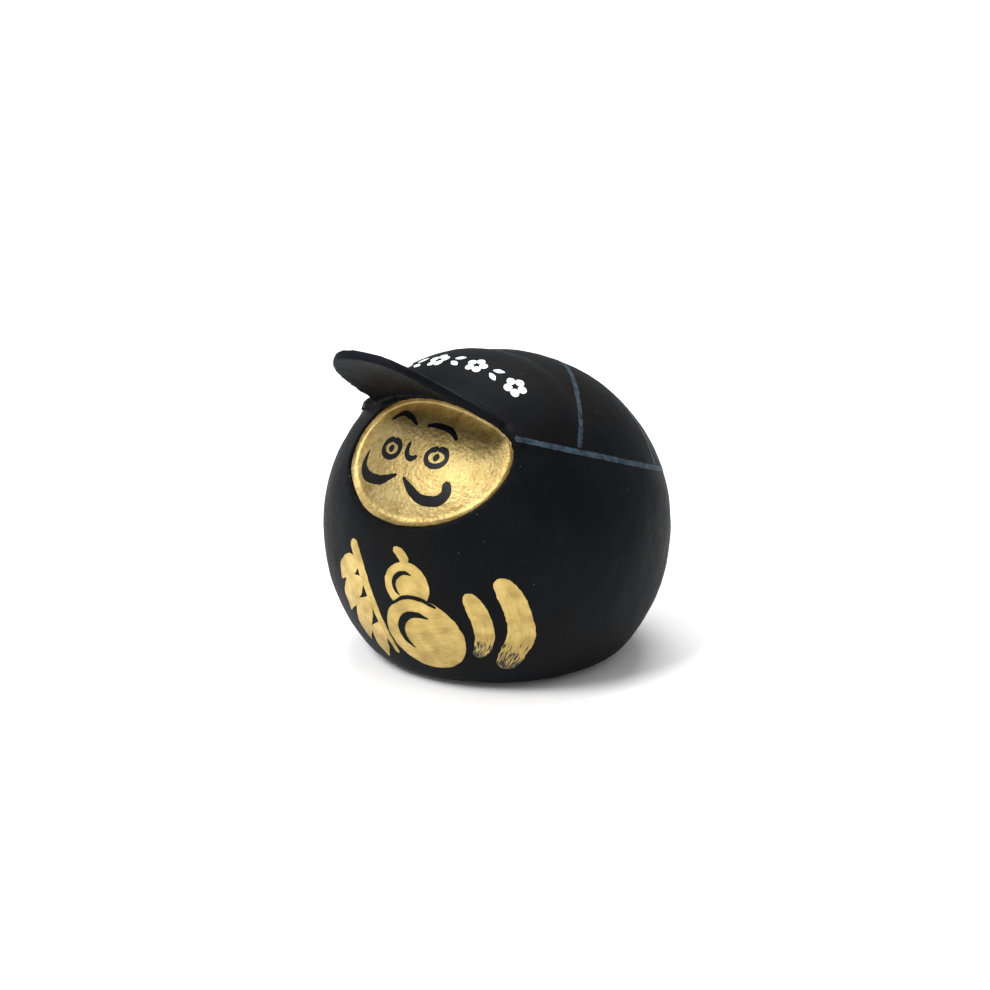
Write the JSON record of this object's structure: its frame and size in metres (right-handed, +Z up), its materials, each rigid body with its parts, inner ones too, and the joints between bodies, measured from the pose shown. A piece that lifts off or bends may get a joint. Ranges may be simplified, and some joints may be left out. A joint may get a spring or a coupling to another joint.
{
  "type": "daruma doll",
  "caption": "Round black papier-mache daruma doll with a recessed gold face, an upturned cap visor and gold brush painting on its belly.",
  "frame": {"origin": "on the ground, under the middle of the round body, in the plane of the base paper's underside", "axes": "+Z up, the face and visor look along -Y, +X to the right of a person who faces the doll"},
  "size_m": [0.11, 0.1171, 0.1078],
  "materials": {
    "paper_pulp": "matte",
    "black_paint": "matte",
    "washi_paper": "matte",
    "clay": "matte",
    "base_paper": "matte",
    "card": "matte",
    "visor_paint": "matte",
    "face_gold": "satin",
    "brush_black": "satin",
    "line_paint": "matte",
    "white_paint": "matte",
    "brush_gold": "satin"
  },
  "bodies": {
    "root": {"paper_shell": "paper_pulp", "black_coat": "black_paint", "back_slit_strip": "washi_paper", "clay_weight": "clay", "base_paper": "base_paper", "visor_board": "card", "visor_wrap": "visor_paint", "visor_root_bead": "visor_paint", "face_gold": "face_gold", "brow_left": "brush_black", "brow_right": "brush_black", "moustache_left": "brush_black", "moustache_right": "brush_black", "nose_mark": "brush_black", "eye_left": "brush_black", "eye_right": "brush_black", "cap_hem_line": "line_paint", "cap_seam_front_left": "line_paint", "cap_seam_front_right": "line_paint", "cap_seam_rear_left": "line_paint", "cap_seam_rear_right": "line_paint", "cap_seam_back": "line_paint", "cap_blossoms": "white_paint", "cap_leaves": "white_paint", "belly_gourd": "brush_gold", "belly_sprig": "brush_gold", "robe_stripe_inner": "brush_gold", "robe_stripe_outer": "brush_gold"}
  },
  "joints": []
}
